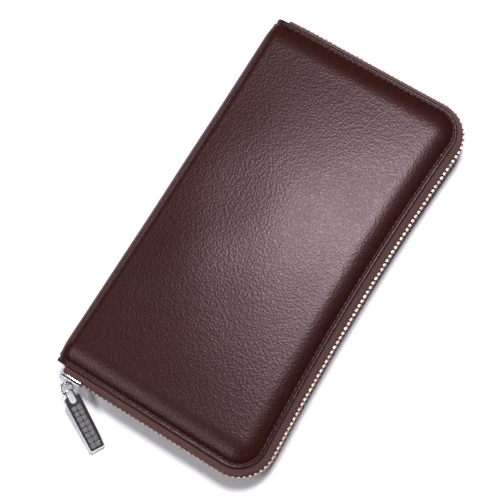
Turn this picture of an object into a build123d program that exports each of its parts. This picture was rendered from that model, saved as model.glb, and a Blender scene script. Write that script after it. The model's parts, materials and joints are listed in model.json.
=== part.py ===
from build123d import *
import math
import os

os.makedirs("parts", exist_ok=True)

# A zip around wallet lying on its back. +X runs from the spine to the long zip side, +Y along the wallet,
# +Z up. The origin is the centre of the flat face it rests on. Millimetres.

# Overall size
thickness = 25.0          # over both padded covers
cover_length = 196.0      # leather edge to leather edge, along Y
cover_width = 106.5       # spine face to the long zip side, along X
corner_radius = 14.0      # plan radius of the two corners away from the spine
side_bow = 2.6            # how far the long zip side is drawn in at its middle
rim_height = 8.0          # outer face of each cover's flat rim, from the mid plane
dome_inset = 3.5          # the padded field starts this far inside the cover's edge
dome_round = 4.0          # rounding of the padded field's shoulder

# Layers, from the outside in
leather = 1.2
foam = 2.0
board = 0.8
lining = 0.4
wall_gap = 0.05           # room round a layer that sits inside another
flange_edge = 1.0         # the lining's flange stops this far inside the leather edge
slot_leather = 0.75
card_slots = 4
slot_step = 10.0          # each slot's mouth is this far behind the next
slot_depth = 56.0         # the shortest slot leather, spine side to mouth
slot_half_length = 87.0
slot_start = 3.0          # card slot leathers start this far from the fold line

# Spine
spine_return = 6.25       # how far the spine leather wraps onto each cover
spine_round = 6.0
hinge_gap = 0.1           # half the gap between the spine leather and each cover
lining_short = 3.0        # the spine's lining ends this far inside each end

# Main zip
teeth_out = 2.5           # the chain stands this far outside the leather edge
tape = 0.6
tape_shoulder = 4.8       # height at which the tape turns in towards the rim
tape_level = 6.5
tape_sewn = 4.6           # the tape reaches this far in under the rim
tape_edge = 1.8           # free edge of each tape, inside the teeth
tooth_pitch = 2.5
tooth_length = 1.15       # along the chain
tooth_half_depth = 1.25   # across the chain's thickness
tooth_root = 2.9
tooth_head = -0.9
tooth_slot = 0.35         # half width of the slot that grips the tape

# Slider of the main zip
slider_x = -42.5
slider_half_length = 5.5
slider_plate = 1.0
plate_gap = 1.35          # chain centre to a plate's inner face
tape_slot = 0.5           # half width of the slot the tape runs in
mouth_half = 4.6          # slider half width at the open mouth
tail_half = 3.9           # slider half width at the closed end
mouth_corner = 1.0        # chamfer at the mouth's corners
taper_half = 1.5          # half length of the taper between mouth and tail
slider_wall = 0.55        # thickness of the turned-in edges
edge_start = -2.0         # the turned-in edges begin here, clear of the top stops
wedge = [(-5.2, 0), (-4.0, 1.1), (-2.4, 0.9), (-1.4, 0), (-2.4, -0.9), (-4.0, -1.1)]

# Stops of the main zip
top_stop_x = -3.15        # from the slider's middle
top_stop_length = 1.5
top_stop_low = 1.45       # lowest point, from the mid plane
bottom_stop_gap = 2.6     # from the last tooth to the bottom stop's middle
bottom_stop_length = 2.4
bottom_stop_low = 0.2
stop_top = 3.5

# Coin pocket
coin_wall = 0.7
coin_gap = 1.2
coin_half_length = 87.0
coin_mouth = 46.0         # top of the pocket
coin_zip_x = 38.2         # centre of the coin zip's chain
coin_chain_half = 78.0
coin_chain_level = 0.95   # above the mid plane
coin_pitch = 2.0
coin_tape = 0.4
coin_window = 3.2         # half width of the window over the chain
coin_window_end = 3.0     # the window runs this far past the chain
coin_tape_in = 0.9        # chain centre to a tape's inner edge
coin_tape_out = 7.5       # chain centre to the near tape's sewn edge
coin_tooth_depth = 0.85   # half thickness across the tape
coin_tooth_half = 0.45    # half length along the chain
coin_tooth_root = 1.9
coin_tooth_head = -0.7
coin_slider_y = -74.0
coin_slider_half = 3.1
coin_slider_reach = 4.0
coin_plate_in = 0.95
coin_plate_out = 1.65
coin_slider_wall = 0.6
coin_slider_slot = 0.3    # half height of the slot the tape runs in
coin_wedge = (1.2, 2.2, 1.9)
coin_hoop_half = 1.9
coin_hoop_thick = 0.7
coin_hoop_height = 1.3
coin_pull_half = 2.0
coin_pull_length = 15.0
coin_pull_low = 1.75      # underside of the pull, above the coin chain
coin_pull_thick = 0.6
coin_pull_hole = (1.6, 1.3, 2)

# End gussets
gusset_length = 72.0
gusset_outer = 91.9
gusset_inner = 88.4
gusset_cloth = 0.5
gusset_pleat = 1.65       # height of each half of the pleat
gusset_start = 7.0        # from the back of the coin pocket

# Pull of the main zip
crown_x = -43.0           # middle of the crown's hoop
crown_half = 2.28          # to the centre of each leg
crown_thick = 1.1
crown_bar_y = -105.26      # centre of the crown's bar
link_wire = 0.5
bow_radius = 2.69
bow_leg = 1.79
pull_pin = (-40.86, -107.14, 10.94)
pull_yaw = -31.4
pull_droop = 16.6
pull_roll = -4.1
neck_half = 2.15           # half width of the tab at its eye
neck_back = 0.9
neck_wall = 0.7
tab_half = 3.9
tab_length = 30.5         # pin line to the free end
tab_shoulder = 3.2
tab_corner = 0.8          # chamfer at the free end
tab_bevel = 0.6           # chamfer round the face
tab_back_bevel = 0.3
inlay_start = 7.2         # pin line to the inlay
eye_length = 6.6
eye_middle = 2.8          # pin line to the middle of the eye
tab_thick = 2.2
tab_border = 0.8
inlay_deep = 0.5
inlay_sunk = 0.1          # the inlay's face lies this far below the border
inlay_room = 0.02

spine_x = -cover_width / 2
fold_x = spine_x + spine_return
mid = thickness / 2
half_y = cover_length / 2
centre_x = cover_width / 2 - corner_radius
centre_y = half_y - corner_radius
side_radius = (centre_y ** 2 + side_bow ** 2) / (2 * side_bow)
turn = math.degrees(math.asin(centre_y / (side_radius + corner_radius)))
side_x = centre_x + math.sqrt((side_radius + corner_radius) ** 2 - centre_y ** 2)
chain_start = fold_x + 0.5
far_end = chain_start + 7.0       # the last tooth stands this far along, by the spine
chain_y = -half_y - teeth_out     # centre of the chain on the slider's side
coin_back = spine_x + leather + wall_gap + lining + 0.1
foam_low = mid - leather - foam   # heights of the layers' undersides above the mid plane
tray_top = foam_low - board


def save(shape, node):
    export_step(shape, f"parts/{node}.step")


def flipped(shape):
    """The lower half's twin of a part of the upper half."""
    return mirror(shape, Plane((0, 0, mid)))


def slab(x, y, z):
    """A box from three (low, high) pairs."""
    size = [high - low for low, high in (x, y, z)]
    return Pos(x[0], y[0], z[0]) * Box(*size, align=(Align.MIN, Align.MIN, Align.MIN))


def edge_at(degrees, out):
    """A point on a lower corner's arc, that far outside the leather edge."""
    radius = corner_radius + out
    angle = math.radians(degrees)
    return centre_x + radius * math.cos(angle), -centre_y + radius * math.sin(angle)


def plan(out, left, z):
    """The cover's outline, grown outwards by out, with its spine side at left."""
    low = -half_y - out
    tangent = edge_at(turn, out)
    middle = side_x - side_radius + out
    with BuildSketch(Plane.XY.offset(z)) as sketch:
        with BuildLine():
            Line((left, -low), (left, low))
            Line((left, low), (centre_x, low))
            ThreePointArc((centre_x, low), edge_at((turn - 90) / 2, out), tangent)
            ThreePointArc(tangent, (middle, 0), (tangent[0], -tangent[1]))
            far = edge_at((turn - 90) / 2, out)
            ThreePointArc((tangent[0], -tangent[1]), (far[0], -far[1]), (centre_x, -low))
            Line((centre_x, -low), (left, -low))
        make_face()
    return sketch.sketch


def block(out, left, low, high):
    return extrude(plan(out, left, mid + low), high - low)


def domed(out, left, low, high, radius):
    """A block whose top edge is rounded, but not along the spine side."""
    body = block(out, left, low, high)
    top = body.faces().sort_by(Axis.Z)[-1]
    edges = [edge for edge in top.edges() if edge.center().X > left + 0.1]
    return fillet(edges, radius)


def strip(points, thick):
    """A closed outline of a bent strip, mitred at its bends, centred on the points."""
    sides = ([], [])
    last = len(points) - 1
    for index, point in enumerate(points):
        here = Vector(*point)
        before = (here - Vector(*points[index - 1])).normalized() if index > 0 else None
        after = (Vector(*points[index + 1]) - here).normalized() if index < last else None
        along = before or after
        normals = [Vector(-d.Y, d.X) for d in (before, after) if d is not None]
        mitre = (normals[0] + normals[-1]).normalized()
        reach = thick / 2 / mitre.dot(Vector(-along.Y, along.X))
        sides[0].append(tuple(here + mitre * reach)[:2])
        sides[1].append(tuple(here - mitre * reach)[:2])
    return sides[0] + sides[1][::-1]


def band(points):
    """An outline of (out, height) points carried round the three zip sides from the chain's start."""
    start = Plane((chain_start, -half_y, mid), x_dir=(0, -1, 0), z_dir=(-1, 0, 0))
    profile = start * make_face(Polyline(*points, close=True))
    straight = extrude(profile, centre_x - chain_start, dir=(1, 0, 0))
    at_corner = Pos(centre_x - chain_start, 0, 0) * profile
    corner_axis = Axis((centre_x, -centre_y, 0), (0, 0, 1))
    corner = revolve(at_corner, corner_axis, 90 + turn)
    at_side = at_corner.rotate(corner_axis, 90 + turn)
    side = revolve(at_side, Axis((side_x, 0, 0), (0, 0, -1)), turn)
    half = straight + corner + side
    return half + mirror(half, Plane.XZ)


def chain_places(first, pitch, out):
    """Positions and outward angles along the chain, from the slider's end to the far end."""
    corner = math.radians(90 + turn) * (corner_radius + out)
    side = math.radians(2 * turn) * (side_radius - out)
    straight = centre_x - first
    total = 2 * (corner + centre_x) + side - first - far_end
    places = []
    distance = 0
    while distance < total:
        if distance < straight:
            place = (first + distance, -half_y - out, -90)
        elif distance < straight + corner:
            angle = -90 + math.degrees((distance - straight) / (corner_radius + out))
            place = (*edge_at(angle, out), angle)
        elif distance < straight + corner + side:
            angle = turn - math.degrees((distance - straight - corner) / (side_radius - out))
            swing = math.radians(180 + angle)
            reach = side_radius - out
            place = (side_x + reach * math.cos(swing), reach * math.sin(swing), angle)
            place = (place[0], -abs(place[1]) if angle > 0 else abs(place[1]), angle)
        elif distance < straight + 2 * corner + side:
            angle = -turn + math.degrees((distance - straight - corner - side) / (corner_radius + out))
            x, y = edge_at(-angle, out)
            place = (x, -y, angle)
        else:
            past = distance - straight - 2 * corner - side
            place = (centre_x - past, half_y + out, 90)
        places.append(place)
        distance += pitch
    return places


def tooth(length):
    """One tooth of the upper row, its outline in (out, height), thick along the chain."""
    gap = tooth_slot
    outline = [
        (-tooth_half_depth, tooth_root),
        (-gap, tooth_root),
        (-gap, tape_edge - 0.05),
        (gap, tape_edge - 0.05),
        (gap, tooth_root),
        (tooth_half_depth, tooth_root),
        (tooth_half_depth, 0.6),
        (0.8, tooth_head),
        (-0.8, tooth_head),
        (-tooth_half_depth, 0.6),
    ]
    face = Plane((0, 0, 0), x_dir=(1, 0, 0), z_dir=(0, -1, 0)) * make_face(Polyline(*outline, close=True))
    return extrude(face, length / 2, both=True)


def tooth_row(first, upper):
    """A row of separate teeth; the two rows stand half a pitch apart."""
    start = first if upper else first + tooth_pitch / 2
    pattern = tooth(tooth_length)
    if not upper:
        pattern = mirror(pattern, Plane.XY)
    places = chain_places(start, tooth_pitch, teeth_out)
    return Compound([Pos(x, y, mid) * Rot(0, 0, angle) * pattern for x, y, angle in places])


def cover():
    """The upper leather cover: a flat rim round a raised, rounded field."""
    rim = block(0, fold_x + hinge_gap, rim_height - leather, rim_height)
    field = domed(-dome_inset, fold_x + hinge_gap, rim_height - leather, mid, dome_round)
    hollow = domed(-dome_inset - leather, fold_x, rim_height - leather - 1, mid - leather, dome_round - leather)
    return rim + field - hollow


def layer(low, high):
    """A flat layer inside the cover's raised field."""
    room = -dome_inset - leather - wall_gap
    field = domed(room, fold_x + hinge_gap, rim_height - leather, mid - leather, dome_round - leather)
    return field & slab((fold_x - 1, cover_width), (-half_y, half_y), (mid + low, mid + high))


def lining_tray(top):
    """The cloth inside a cover: a shallow tray with a flange under the tape."""
    out = -dome_inset - leather - wall_gap
    left = fold_x + hinge_gap
    flange = tape_level - tape / 2
    shell = block(out, left, flange - lining, top) + block(-flange_edge, left, flange - lining, flange)
    return shell - block(out - lining, left - 1, flange - lining - 1, top - lining)


def slot_strip(index, ceiling):
    """One card slot leather; the one nearest the cover reaches furthest from the spine."""
    reach = slot_depth + slot_step * (card_slots - 1 - index)
    top = ceiling - slot_leather * index
    left = fold_x + slot_start
    return slab((left, left + reach), (-slot_half_length, slot_half_length), (mid + top - slot_leather, mid + top))


def tape_band():
    """The upper tape: flat through the slider, then turned in under the rim."""
    turn_in = teeth_out - (tape_level - tape_shoulder)
    route = [(teeth_out, tape_edge), (teeth_out, tape_shoulder), (turn_in, tape_level), (-tape_sewn, tape_level)]
    return band(strip(route, tape))


def crimp(x, side, upper, length, low):
    """A stop squeezed onto one tape: a short clip with a slot for the tape."""
    outer = slab((x - length / 2, x + length / 2), (-tooth_half_depth, tooth_half_depth), (low, stop_top))
    slot = slab((x - length, x + length), (-tooth_slot, tooth_slot), (tape_edge - 0.05, mid))
    clip = outer - slot
    if not upper:
        clip = mirror(clip, Plane.XY)
    return Pos(0, side * (half_y + teeth_out), mid) * clip


def slider_plan(inset, front, back):
    """The slider's outline seen square to the chain: wide at the open mouth, narrower at its tail."""
    wide = mouth_half - inset
    slim = tail_half - inset
    corner = mouth_corner - inset
    points = [(front, wide - corner), (front + mouth_corner, wide), (-taper_half, wide)]
    points += [(taper_half, slim), (back, slim)]
    points += [(x, -z) for x, z in reversed(points)]
    face = make_face(Polyline(*points, close=True))
    return Plane((slider_x, chain_y, mid), x_dir=(1, 0, 0), z_dir=(0, -1, 0)) * face


def slider_layer(face, low, high):
    """The face made solid between two distances outward from the chain's centre."""
    return extrude(Pos(0, -low, 0) * face, high - low, dir=(0, -1, 0))


def slider_body():
    """Two plates joined by the wedge that parts the teeth, with turned-in edges beside the tape."""
    reach = slider_half_length
    outline = slider_plan(0, -reach, reach)
    inner = slider_plan(slider_wall, -reach - 1, reach + 1)
    outer_face = plate_gap + slider_plate
    wedge_face = make_face(Polyline(*wedge, close=True))
    wedge_face = Plane((slider_x, chain_y, mid), x_dir=(1, 0, 0), z_dir=(0, -1, 0)) * wedge_face
    body = slider_layer(outline, plate_gap, outer_face) + slider_layer(outline, -outer_face, -plate_gap)
    edges = slider_layer(outline, tape_slot, plate_gap) + slider_layer(outline, -plate_gap, -tape_slot)
    edges -= slider_layer(inner, -plate_gap, plate_gap)
    edges &= slab((slider_x + edge_start, slider_x + reach), (-2 * half_y, 0), (0, thickness))
    return body + edges + slider_layer(wedge_face, -plate_gap, plate_gap)


def top_stop(upper):
    return crimp(slider_x + top_stop_x, -1, upper, top_stop_length, top_stop_low)


def bottom_stop():
    return crimp(far_end - bottom_stop_gap, 1, False, bottom_stop_length, bottom_stop_low)


def arch(half, thick, height, deep):
    """A flat-topped hoop standing on y = 0: legs centred half apart, its bar centred at height."""
    outer = Rectangle(2 * half + thick, height + thick / 2, align=(Align.CENTER, Align.MIN))
    corners = outer.vertices().group_by(Axis.Y)[-1]
    outer = fillet(corners, thick)
    inner = Rectangle(2 * half - thick, height - thick / 2, align=(Align.CENTER, Align.MIN))
    return extrude(outer - inner, deep / 2, both=True)


def slider_crown():
    """The upright hoop on the slider's outer plate that holds the pull, its bar parallel to Z."""
    foot = chain_y - plate_gap - slider_plate
    hoop = arch(crown_half, crown_thick, foot - crown_bar_y, crown_thick)
    return Pos(crown_x, foot, mid) * Rot(0, 90, 0) * Rot(0, 0, 180) * hoop


def pull_frame():
    """The pull's own axes: X down its length, Y along the pin line, Z out of its face."""
    across = Rot(0, 0, pull_yaw) * Rot(0, pull_droop, 0) * Rot(pull_roll, 0, 0)
    return Pos(*pull_pin) * across


def pull_link():
    """A bent wire: a round bow through the crown and two legs whose ends are pegs in the tab's sides."""
    peg = bow_radius - neck_half + neck_wall
    section = Pos(-bow_leg, bow_radius, 0) * Rot(0, 90, 0) * Circle(link_wire)
    wire = revolve(section, Axis((-bow_leg, 0, 0), (0, 0, 1)), 180)
    for side in (-1, 1):
        leg = Pos(-bow_leg / 2, side * bow_radius, 0) * Rot(0, 90, 0) * Cylinder(link_wire, bow_leg)
        corner = Pos(0, side * bow_radius, 0) * Sphere(link_wire)
        end = Pos(0, side * (bow_radius - peg / 2), 0) * Rot(90, 0, 0) * Cylinder(link_wire, peg)
        wire += leg + corner + end
    return pull_frame() * wire


def tab_outline():
    """The tab seen from its face: a narrow rounded neck that widens to a square-ended bar."""
    neck = neck_half
    wide = tab_half
    end = tab_length
    shoulder = tab_shoulder
    top = -neck_back
    round_off = tab_corner
    with BuildSketch() as sketch:
        with BuildLine():
            ThreePointArc((neck_back, -neck), (top, 0), (neck_back, neck))
            Line((neck_back, neck), (shoulder - 1, neck))
            Line((shoulder - 1, neck), (shoulder, wide))
            Line((shoulder, wide), (end - round_off, wide))
            Line((end - round_off, wide), (end, wide - round_off))
            Line((end, wide - round_off), (end, round_off - wide))
            Line((end, round_off - wide), (end - round_off, -wide))
            Line((end - round_off, -wide), (shoulder, -wide))
            Line((shoulder, -wide), (shoulder - 1, -neck))
            Line((shoulder - 1, -neck), (neck_back, -neck))
        make_face()
    return sketch.sketch


def recess(depth, room):
    """The shallow pan in the tab's face, or with room taken off, the inlay that fills it."""
    long = tab_length - tab_bevel - tab_border - inlay_start
    wide = 2 * (tab_half - tab_bevel - tab_border)
    pan = Box(long - 2 * room, wide - 2 * room, depth, align=(Align.MIN, Align.CENTER, Align.MAX))
    return Pos(inlay_start + room, 0, tab_thick / 2) * pan


def pull_tab():
    """The bar pull: an open eye at its neck, peg holes through the eye's sides and a pan for the inlay."""
    body = extrude(tab_outline(), tab_thick / 2, both=True)
    body = chamfer(body.faces().sort_by(Axis.Z)[-1].edges(), tab_bevel)
    body = chamfer(body.faces().sort_by(Axis.Z)[0].edges(), tab_back_bevel)
    slot = Pos(eye_middle, 0, 0) * SlotOverall(eye_length, 2 * (neck_half - neck_wall))
    eye = extrude(slot, tab_thick, both=True)
    peg_hole = Rot(90, 0, 0) * Cylinder(link_wire + 0.05, 4 * neck_half)
    return pull_frame() * (body - eye - peg_hole - recess(inlay_deep, 0))


def pull_inlay():
    return pull_frame() * (Pos(0, 0, -inlay_sunk) * recess(inlay_deep - inlay_sunk, inlay_room))


def spine_cover():
    """The strip of leather round the wallet's back, which wraps a little way onto each cover."""
    end = fold_x - hinge_gap
    outer = slab((spine_x, end), (-half_y, half_y), (0, thickness))
    outer = fillet(outer.edges().filter_by(Axis.Y).group_by(Axis.X)[0], spine_round)
    inner = slab((spine_x + leather, end + 1), (-half_y - 1, half_y + 1), (leather, thickness - leather))
    inner = fillet(inner.edges().filter_by(Axis.Y).group_by(Axis.X)[0], spine_round - leather)
    return outer - inner


def spine_lining():
    inside = spine_x + leather + wall_gap
    end = half_y - lining_short
    return slab((inside, inside + lining), (-end, end), (spine_round, thickness - spine_round))


def coin_wall_lower():
    """The pocket's plain side, with the folded top that closes it."""
    low = mid - coin_gap - coin_wall
    width = (-coin_half_length, coin_half_length)
    sheet = slab((coin_back, coin_mouth), width, (low, low + coin_wall))
    top = slab((coin_mouth - coin_wall, coin_mouth), width, (low, mid + coin_gap))
    return sheet + top


def coin_wall_upper():
    """The pocket's zipped side: a window along the zip, between the main sheet and a narrow strip."""
    low = mid + coin_gap
    width = (-coin_half_length, coin_half_length)
    sheet = slab((coin_back, coin_mouth), width, (low, low + coin_wall))
    end = coin_chain_half + coin_window_end
    window = slab((coin_zip_x - coin_window, coin_zip_x + coin_window), (-end, end), (0, thickness))
    return sheet - window


def coin_tapes():
    """The coin zip's two tapes, sewn under the window's edges."""
    low = mid + coin_chain_level - coin_tape / 2
    end = coin_chain_half + coin_window_end + 1
    near = slab((coin_zip_x - coin_tape_out, coin_zip_x - coin_tape_in), (-end, end), (low, low + coin_tape))
    far_edge = coin_mouth - coin_wall - 0.1
    far = slab((coin_zip_x + coin_tape_in, far_edge), (-end, end), (low, low + coin_tape))
    return Compound([near, far])


def coin_teeth():
    """Both rows of the coin zip, each tooth gripping its tape's edge, set half a pitch apart."""
    gap = coin_tape / 2 + 0.03
    depth = coin_tooth_depth
    grip = coin_tape_in - wall_gap
    outline = [
        (-depth, coin_tooth_root),
        (-gap, coin_tooth_root),
        (-gap, grip),
        (gap, grip),
        (gap, coin_tooth_root),
        (depth, coin_tooth_root),
        (depth, coin_tooth_head),
        (-depth, coin_tooth_head),
    ]
    face = Plane((0, 0, 0), x_dir=(0, 0, 1), z_dir=(0, 1, 0)) * make_face(Polyline(*outline, close=True))
    one = extrude(face, coin_tooth_half, both=True)
    other = mirror(one, Plane.YZ)
    count = int(2 * coin_chain_half / coin_pitch)
    teeth = []
    for index in range(count):
        y = coin_slider_y + 1.5 + index * coin_pitch
        if y + coin_pitch / 2 < coin_chain_half:
            teeth.append(Pos(coin_zip_x, y, mid + coin_chain_level) * one)
            teeth.append(Pos(coin_zip_x, y + coin_pitch / 2, mid + coin_chain_level) * other)
    return Compound(teeth)


def coin_slider():
    """A small slider of the same kind, its open mouth towards the lower end."""
    half = coin_slider_half
    reach = coin_slider_reach
    plate = slab((-half, half), (-reach, reach), (coin_plate_in, coin_plate_out))
    wall = slab((half - coin_slider_wall, half), (-reach, reach), (coin_slider_slot, coin_plate_in))
    shell = plate + wall + mirror(wall, Plane.YZ)
    body = shell + mirror(shell, Plane.XY) + Pos(0, -2.6, 0) * Box(*coin_wedge)
    hoop = arch(coin_hoop_half, coin_hoop_thick, coin_hoop_height, 1.0)
    hoop = Pos(0, 0, coin_plate_out) * Rot(0, 0, 90) * Rot(90, 0, 0) * hoop
    return Pos(coin_zip_x, coin_slider_y, mid + coin_chain_level) * (body + hoop)


def coin_pull():
    """A thin strap-shaped pull lying over the chain, its hole round the crown's far leg."""
    height = (coin_pull_low, coin_pull_low + coin_pull_thick)
    plate = slab((-coin_pull_half, coin_pull_half), (0.3, coin_pull_length), height)
    plate = fillet(plate.edges().filter_by(Axis.Z), 1.2)
    hole = Pos(0, coin_hoop_half, coin_pull_low) * Box(*coin_pull_hole)
    return Pos(coin_zip_x, coin_slider_y, mid + coin_chain_level) * (plate - hole)


def gusset(side):
    """An upper end gusset: a cloth strip pleated once between the cover's lining and the coin pocket."""
    outer = gusset_outer
    low = coin_gap + coin_wall + 0.2
    high = tray_top - lining - 0.1
    route = [(outer, low), (gusset_inner, low + gusset_pleat), (outer, low + 2 * gusset_pleat), (outer, high)]
    profile = Plane((coin_back + gusset_start, 0, mid), x_dir=(0, 1, 0), z_dir=(1, 0, 0))
    sheet = extrude(profile * make_face(Polyline(*strip(route, gusset_cloth), close=True)), gusset_length)
    return sheet if side > 0 else mirror(sheet, Plane.XZ)


def save_half(name, lower):
    """Every layer of one cover; the lower cover is the upper one turned over."""
    parts = {
        "cover": cover(),
        "padding": layer(foam_low, foam_low + foam),
        "board": layer(tray_top, foam_low),
        "lining": lining_tray(tray_top),
        "zip_tape": tape_band(),
    }
    for index in range(card_slots):
        parts[f"card_slot_{index + 1}"] = slot_strip(index, tray_top - lining)
    for side, end in ((-1, "near"), (1, "far")):
        parts[f"{end}_gusset"] = gusset(side)
    for node, shape in parts.items():
        save(flipped(shape) if lower else shape, f"{name}_{node}")


save_half("back", lower=True)
save_half("front", lower=False)
first_tooth = slider_x + 0.4
save(tooth_row(first_tooth, upper=False), "back_zip_teeth")
save(tooth_row(first_tooth, upper=True), "front_zip_teeth")
save(top_stop(upper=False), "back_top_stop")
save(top_stop(upper=True), "front_top_stop")
save(bottom_stop(), "zip_bottom_stop")
save(slider_body(), "zip_slider")
save(slider_crown(), "slider_crown")
save(pull_link(), "pull_link")
save(pull_tab(), "pull_tab")
save(pull_inlay(), "pull_inlay")
save(spine_cover(), "spine_cover")
save(spine_lining(), "spine_lining")
save(coin_wall_lower(), "coin_pocket_plain_side")
save(coin_wall_upper(), "coin_pocket_zip_side")
save(coin_tapes(), "coin_zip_tapes")
save(coin_teeth(), "coin_zip_teeth")
save(coin_slider(), "coin_zip_slider")
save(coin_pull(), "coin_zip_pull")
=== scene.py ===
import json
import math

import bmesh
import bpy
from mathutils import Matrix, Vector


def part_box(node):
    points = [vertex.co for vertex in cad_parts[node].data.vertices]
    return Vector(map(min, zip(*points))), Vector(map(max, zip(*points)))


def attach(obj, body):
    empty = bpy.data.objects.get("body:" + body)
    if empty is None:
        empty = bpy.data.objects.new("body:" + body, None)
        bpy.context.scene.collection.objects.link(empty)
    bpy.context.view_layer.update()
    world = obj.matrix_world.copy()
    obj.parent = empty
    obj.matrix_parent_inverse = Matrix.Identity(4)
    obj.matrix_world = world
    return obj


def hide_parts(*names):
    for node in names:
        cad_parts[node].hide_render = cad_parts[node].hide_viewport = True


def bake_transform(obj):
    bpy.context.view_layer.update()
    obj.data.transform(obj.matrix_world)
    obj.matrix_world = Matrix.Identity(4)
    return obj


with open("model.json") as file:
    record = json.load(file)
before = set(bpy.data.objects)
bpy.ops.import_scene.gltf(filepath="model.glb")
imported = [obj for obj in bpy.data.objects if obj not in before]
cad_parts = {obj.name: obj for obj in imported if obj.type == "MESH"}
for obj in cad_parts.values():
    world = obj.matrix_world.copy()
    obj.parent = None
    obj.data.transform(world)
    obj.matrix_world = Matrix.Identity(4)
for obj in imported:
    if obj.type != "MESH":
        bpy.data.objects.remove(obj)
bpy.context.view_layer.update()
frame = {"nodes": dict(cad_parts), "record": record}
mm = 0.001
print("frame loaded:", len(frame["nodes"]), "nodes")

# The wallet's plan: both covers share one outline, straight at the spine, with two rounded corners
coverLow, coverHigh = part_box("front_cover")
spineLow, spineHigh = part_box("spine_cover")
wallet = {
    "halfY": coverHigh.y,
    "rightX": coverHigh.x,
    "leftX": coverLow.x,
    "spineX": spineLow.x,
    "midZ": spineHigh.z / 2,
    "cornerRadius": 14 * mm,
    "sideBow": 2.6 * mm,       # the zip side is drawn in at its middle
    "spineBow": 1.3 * mm,      # and so is the spine
    "step": 0.8 * mm,          # mesh step along the outline
}
centreX = wallet["rightX"] - wallet["cornerRadius"]
centreY = wallet["halfY"] - wallet["cornerRadius"]
sideRadius = (centreY ** 2 + wallet["sideBow"] ** 2) / (2 * wallet["sideBow"])
turn = math.asin(centreY / (sideRadius + wallet["cornerRadius"]))
sideX = centreX + math.sqrt((sideRadius + wallet["cornerRadius"]) ** 2 - centreY ** 2)


def smooth(low, high, value):
    t = min(max((value - low) / (high - low), 0), 1)
    return t * t * (3 - 2 * t)


def makeOutline(startX, step):
    # points on the leather edge as (x, y, outward x, outward y, distance), spine end to spine end
    r = wallet["cornerRadius"]
    points = []
    straight = centreX - startX
    count = max(2, round(straight / step))
    for i in range(count):
        points.append((startX + straight * i / count, -wallet["halfY"], 0.0, -1.0))
    corner = max(4, round((math.pi / 2 + turn) * r / step))
    for i in range(corner):
        a = -math.pi / 2 + (math.pi / 2 + turn) * i / corner
        points.append((centreX + r * math.cos(a), -centreY + r * math.sin(a), math.cos(a), math.sin(a)))
    half = max(2, round(turn * sideRadius / step))
    for i in range(half):
        a = turn * (1 - i / half)
        points.append((sideX - sideRadius * math.cos(a), -sideRadius * math.sin(a), math.cos(a), math.sin(a)))
    points.append((sideX - sideRadius, 0.0, 1.0, 0.0))
    points += [(x, -y, nx, -ny) for x, y, nx, ny in reversed(points[:-1])]
    result = []
    distance = 0.0
    for i, (x, y, nx, ny) in enumerate(points):
        if i:
            distance += math.hypot(x - points[i - 1][0], y - points[i - 1][1])
        result.append((x, y, nx, ny, distance))
    return result, count, corner, half


def spineShift(x, y):
    # both spine edges are drawn in a little at the middle of the wallet
    reach = smooth(wallet["leftX"] + 28 * mm, wallet["leftX"], x)
    return wallet["spineBow"] * (1 - (y / wallet["halfY"]) ** 2) * reach


def newObject(name, mesh, material=None):
    obj = bpy.data.objects.new(name, mesh)
    bpy.context.scene.collection.objects.link(obj)
    if material:
        mesh.materials.append(material)
    return obj


def meshObject(name, verts, faces, material, merge=0, uvs=None):
    mesh = bpy.data.meshes.new(name)
    mesh.from_pydata(verts, [], faces)
    if uvs:
        layer = mesh.uv_layers.new(name="Weave")
        for loop in mesh.loops:
            layer.data[loop.index].uv = uvs[loop.vertex_index]
    bm = bmesh.new()
    bm.from_mesh(mesh)
    if merge:
        bmesh.ops.remove_doubles(bm, verts=bm.verts, dist=merge)
    bmesh.ops.recalc_face_normals(bm, faces=bm.faces)
    bm.to_mesh(mesh)
    bm.free()
    mesh.polygons.foreach_set("use_smooth", [True] * len(mesh.polygons))
    return newObject(name, mesh, material)


# Materials
def nodeTree(name):
    material = bpy.data.materials.new(name)
    material.use_nodes = True
    tree = material.node_tree
    shader = tree.nodes["Principled BSDF"]
    return material, tree, shader


def group(name, inputs, outputs):
    # a shader group that gives out values only, with a named input for each size
    tree = bpy.data.node_groups.new(name, "ShaderNodeTree")
    for label, kind, value in inputs:
        socket = tree.interface.new_socket(name=label, in_out="INPUT", socket_type=kind)
        if value is not None:
            socket.default_value = value
    for label, kind in outputs:
        tree.interface.new_socket(name=label, in_out="OUTPUT", socket_type=kind)
    return tree, tree.nodes.new("NodeGroupInput"), tree.nodes.new("NodeGroupOutput")


def add(tree, kind, **values):
    node = tree.nodes.new(kind)
    for key, value in values.items():
        setattr(node, key, value)
    return node


def math2(tree, operation, a, b=None, c=None):
    node = add(tree, "ShaderNodeMath", operation=operation)
    for index, value in enumerate((a, b, c)):
        if value is None:
            continue
        if isinstance(value, (int, float)):
            node.inputs[index].default_value = value
        else:
            tree.links.new(value, node.inputs[index])
    return node.outputs[0]


def remap(tree, value, low, high, outLow, outHigh):
    node = add(tree, "ShaderNodeMapRange")
    tree.links.new(value, node.inputs["Value"])
    for label, number in (("From Min", low), ("From Max", high), ("To Min", outLow), ("To Max", outHigh)):
        node.inputs[label].default_value = number
    return node.outputs["Result"]


def mixColor(tree, factor, a, b, blend="MIX"):
    node = add(tree, "ShaderNodeMix", data_type="RGBA", blend_type=blend)
    for socket, value in ((node.inputs[0], factor), (node.inputs[6], a), (node.inputs[7], b)):
        if isinstance(value, (int, float)):
            socket.default_value = value
        elif isinstance(value, tuple):
            socket.default_value = (*value, 1)
        else:
            tree.links.new(value, socket)
    return node.outputs[2]


grainShape = {
    "warpScale": 260,          # how finely the cells' edges wander
    "warpReach": 1.1 * mm,
    "cellSoftness": 0.3,
    "fineRatio": 2.3,          # small pebbles to each large one, along a line
    "fineShare": 0.35,
    "creaseScale": 95,
    "creaseShare": 0.35,
    "cloudScale": 34,          # slow change of colour over the hide
}


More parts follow.
